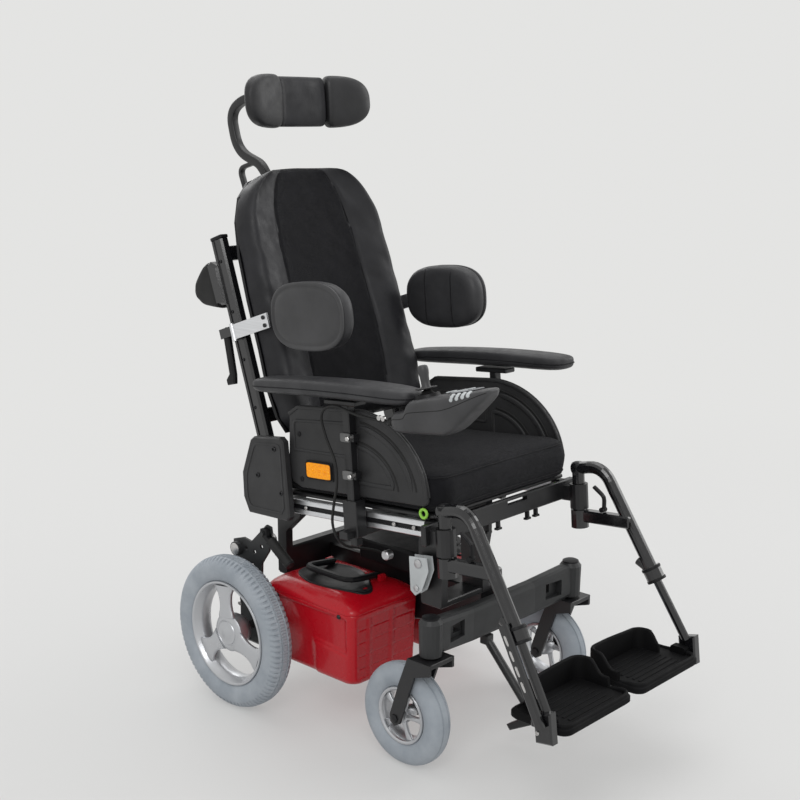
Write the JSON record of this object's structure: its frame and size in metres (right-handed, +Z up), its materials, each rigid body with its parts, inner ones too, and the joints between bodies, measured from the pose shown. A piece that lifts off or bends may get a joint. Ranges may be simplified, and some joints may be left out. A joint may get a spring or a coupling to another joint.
{
  "type": "power wheelchair",
  "caption": "Rear-wheel-drive power wheelchair with reclining back, headrest, trunk supports, height-adjustable armrests, joystick and swing-away leg rests.",
  "frame": {"origin": "middle of the bounding box on the floor", "axes": "-Y is the direction of travel, +X the user's left, +Z up"},
  "size_m": [0.5962, 1.0973, 1.2786],
  "materials": {
    "black_steel": "satin black",
    "gloss_tube": "gloss black",
    "cast_grey": "satin dark grey casting",
    "aluminium": "anodised",
    "silver_rim": "silver painted",
    "zinc": "satin",
    "red_shell": "gloss red",
    "grey_tyre": "matt grey",
    "grey_plastic": "fine texture",
    "pod_plastic": "fine texture",
    "black_plastic": "matt black",
    "black_rubber": "matt",
    "seat_fabric": "woven black",
    "dark_vinyl": "matt dark grey",
    "key_silicone": "translucent grey"
  },
  "bodies": {
    "chassis": {"chassis_frame": "black_steel", "front_beam": "cast_grey", "battery_box_R": "red_shell", "battery_box_L": "red_shell", "motor_R": "cast_grey", "motor_L": "cast_grey", "controller_box": "black_plastic", "seat_rail_R": "aluminium", "seat_rail_L": "aluminium", "front_cross_rail": "black_steel", "seat_pan": "black_steel", "seat_cushion": "seat_fabric", "hinge_cover_R": "grey_plastic", "hinge_cover_L": "grey_plastic", "arm_receiver": "black_steel", "joystick_cable": "black_rubber"},
    "drive_wheel_R": {"drive_tyre_R": "grey_tyre", "drive_rim_R": "silver_rim"},
    "castor_R": {"castor_fork_R": "black_steel"},
    "castor_wheel_R": {"castor_tyre_R": "grey_tyre", "castor_rim_R": "silver_rim"},
    "bail_R": {"battery_handle_R": "black_plastic"},
    "freewheel_R": {"freewheel_lever_R": "black_plastic"},
    "armrest_R": {"arm_post_R": "black_steel", "side_panel_R": "grey_plastic", "arm_pad_R": "dark_vinyl", "joystick_pod": "pod_plastic"},
    "lateral_R": {"lateral_arm_R": "aluminium", "lateral_pad_R": "dark_vinyl"},
    "legrest_R": {"legrest_hanger_R": "gloss_tube"},
    "legrest_latch_R": {"latch_lever_R": "black_plastic"},
    "legrest_lower_R": {"legrest_lower_R": "gloss_tube"},
    "footplate_R": {"footplate_R": "black_plastic"},
    "drive_wheel_L": {"drive_tyre_L": "grey_tyre", "drive_rim_L": "silver_rim"},
    "castor_L": {"castor_fork_L": "black_steel"},
    "castor_wheel_L": {"castor_tyre_L": "grey_tyre", "castor_rim_L": "silver_rim"},
    "bail_L": {"battery_handle_L": "black_plastic"},
    "freewheel_L": {"freewheel_lever_L": "black_plastic"},
    "armrest_L": {"arm_post_L": "black_steel", "side_panel_L": "grey_plastic", "arm_pad_L": "dark_vinyl"},
    "lateral_L": {"lateral_arm_L": "aluminium", "lateral_pad_L": "dark_vinyl"},
    "legrest_L": {"legrest_hanger_L": "gloss_tube"},
    "legrest_latch_L": {"latch_lever_L": "black_plastic"},
    "legrest_lower_L": {"legrest_lower_L": "gloss_tube"},
    "footplate_L": {"footplate_L": "black_plastic"},
    "kerb_climber": {"kerb_climber": "black_steel"},
    "joystick_gimbal": {"joystick_gimbal": "zinc"},
    "joystick_stick": {"joystick_stick": "black_rubber"},
    "power_button": {"power_button": "key_silicone"},
    "backrest": {"back_frame": "gloss_tube", "back_shell": "black_plastic", "back_cushion": "seat_fabric"},
    "recline_lever": {"recline_lever": "grey_plastic"},
    "headrest_bar": {"headrest_bar": "black_steel"},
    "headrest_pad": {"headrest_pad": "dark_vinyl"}
  },
  "joints": [
    {"name": "drive_wheel_R_spin", "type": "hinge", "parent": "chassis", "child": "drive_wheel_R", "pos_m": [-0.27, 0.2514, 0.159], "axis": [1, 0, 0], "continuous": true},
    {"name": "castor_R_swivel", "type": "hinge", "parent": "chassis", "child": "castor_R", "pos_m": [-0.214, -0.2416, 0.26], "axis": [0, 0, 1], "continuous": true},
    {"name": "castor_wheel_R_spin", "type": "hinge", "parent": "castor_R", "child": "castor_wheel_R", "pos_m": [-0.214, -0.1826, 0.1], "axis": [1, 0, 0], "continuous": true},
    {"name": "battery_handle_R_lift", "type": "hinge", "parent": "chassis", "child": "bail_R", "pos_m": [-0.092, 0.0764, 0.2905], "axis": [0, 1, 0], "range_deg": [0, 60]},
    {"name": "freewheel_lever_R_turn", "type": "hinge", "parent": "chassis", "child": "freewheel_R", "pos_m": [-0.2295, 0.1954, 0.372], "axis": [-1, 0, 0], "range_deg": [0, 40]},
    {"name": "armrest_R_height", "type": "slide", "parent": "chassis", "child": "armrest_R", "axis": [0, 0.0785, 0.9969], "range_m": [0, 0.04]},
    {"name": "lateral_R_swing", "type": "hinge", "parent": "backrest", "child": "lateral_R", "pos_m": [-0.207, 0.30434, 0.76705], "axis": [0, -0.3173, -0.9483], "range_deg": [0, 80]},
    {"name": "legrest_R_swing", "type": "hinge", "parent": "chassis", "child": "legrest_R", "pos_m": [-0.202, -0.265, 0.46634], "axis": [0, -0.0785, -0.9969], "range_deg": [0, 90]},
    {"name": "legrest_R_length", "type": "slide", "parent": "legrest_R", "child": "legrest_lower_R", "axis": [-0.0667, -0.5188, -0.8523], "range_m": [0, 0.05]},
    {"name": "footplate_R_flip", "type": "hinge", "parent": "legrest_lower_R", "child": "footplate_R", "pos_m": [-0.219, -0.5056, 0.199], "axis": [0, -0.9969, 0.0785], "range_deg": [0, 60]},
    {"name": "legrest_latch_R_press", "type": "hinge", "parent": "legrest_R", "child": "legrest_latch_R", "pos_m": [-0.202, -0.32476, 0.43395], "axis": [1, 0, 0], "range_deg": [0, 20], "stiffness_Nm_per_rad": 0.4, "springref_deg": -8.59},
    {"name": "drive_wheel_L_spin", "type": "hinge", "parent": "chassis", "child": "drive_wheel_L", "pos_m": [0.27, 0.2514, 0.159], "axis": [1, 0, 0], "continuous": true},
    {"name": "castor_L_swivel", "type": "hinge", "parent": "chassis", "child": "castor_L", "pos_m": [0.214, -0.2416, 0.26], "axis": [0, 0, 1], "continuous": true},
    {"name": "castor_wheel_L_spin", "type": "hinge", "parent": "castor_L", "child": "castor_wheel_L", "pos_m": [0.214, -0.1826, 0.1], "axis": [1, 0, 0], "continuous": true},
    {"name": "battery_handle_L_lift", "type": "hinge", "parent": "chassis", "child": "bail_L", "pos_m": [0.092, 0.0764, 0.2905], "axis": [0, -1, 0], "range_deg": [0, 60]},
    {"name": "freewheel_lever_L_turn", "type": "hinge", "parent": "chassis", "child": "freewheel_L", "pos_m": [0.2295, 0.1954, 0.372], "axis": [-1, 0, 0], "range_deg": [0, 40]},
    {"name": "armrest_L_height", "type": "slide", "parent": "chassis", "child": "armrest_L", "axis": [0, 0.0785, 0.9969], "range_m": [0, 0.04]},
    {"name": "lateral_L_swing", "type": "hinge", "parent": "backrest", "child": "lateral_L", "pos_m": [0.207, 0.30434, 0.76705], "axis": [0, 0.3173, 0.9483], "range_deg": [0, 80]},
    {"name": "legrest_L_swing", "type": "hinge", "parent": "chassis", "child": "legrest_L", "pos_m": [0.202, -0.265, 0.46634], "axis": [0, 0.0785, 0.9969], "range_deg": [0, 90]},
    {"name": "legrest_L_length", "type": "slide", "parent": "legrest_L", "child": "legrest_lower_L", "axis": [0.0667, -0.5188, -0.8523], "range_m": [0, 0.05]},
    {"name": "footplate_L_flip", "type": "hinge", "parent": "legrest_lower_L", "child": "footplate_L", "pos_m": [0.219, -0.5056, 0.199], "axis": [0, 0.9969, -0.0785], "range_deg": [0, 60]},
    {"name": "legrest_latch_L_press", "type": "hinge", "parent": "legrest_L", "child": "legrest_latch_L", "pos_m": [0.202, -0.32476, 0.43395], "axis": [1, 0, 0], "range_deg": [0, 20], "stiffness_Nm_per_rad": 0.4, "springref_deg": -8.59},
    {"name": "kerb_climber_swing", "type": "hinge", "parent": "chassis", "child": "kerb_climber", "pos_m": [-0.03, -0.2226, 0.204], "axis": [-1, 0, 0], "range_deg": [0, 20], "stiffness_Nm_per_rad": 6, "springref_deg": -5.73},
    {"name": "joystick_forward_back", "type": "hinge", "parent": "armrest_R", "child": "joystick_gimbal", "pos_m": [-0.226, -0.24393, 0.71116], "axis": [1, 0, 0], "range_deg": [-15, 15], "stiffness_Nm_per_rad": 0.4},
    {"name": "joystick_left_right", "type": "hinge", "parent": "joystick_gimbal", "child": "joystick_stick", "pos_m": [-0.226, -0.24393, 0.71116], "axis": [0, 0.9703, -0.2419], "range_deg": [-15, 15], "stiffness_Nm_per_rad": 0.4},
    {"name": "power_button_press", "type": "slide", "parent": "armrest_R", "child": "power_button", "axis": [0, -0.2419, -0.9703], "range_m": [0, 0.0015], "stiffness_N_per_m": 800, "springref_m": -0.0003},
    {"name": "backrest_recline", "type": "hinge", "parent": "chassis", "child": "backrest", "pos_m": [0, 0.2104, 0.4737], "axis": [-1, 0, 0], "range_deg": [-6, 20]},
    {"name": "recline_lever_pull", "type": "hinge", "parent": "backrest", "child": "recline_lever", "pos_m": [-0.184, 0.35366, 0.75688], "axis": [1, 0, 0], "range_deg": [0, 20], "stiffness_Nm_per_rad": 0.6, "springref_deg": -8.59},
    {"name": "headrest_height", "type": "slide", "parent": "backrest", "child": "headrest_bar", "axis": [0, 0.3173, 0.9483], "range_m": [-0.005, 0.06]},
    {"name": "headrest_tilt", "type": "hinge", "parent": "headrest_bar", "child": "headrest_pad", "pos_m": [0, 0.373, 1.21807], "axis": [1, 0, 0], "range_deg": [-15, 15]}
  ]
}
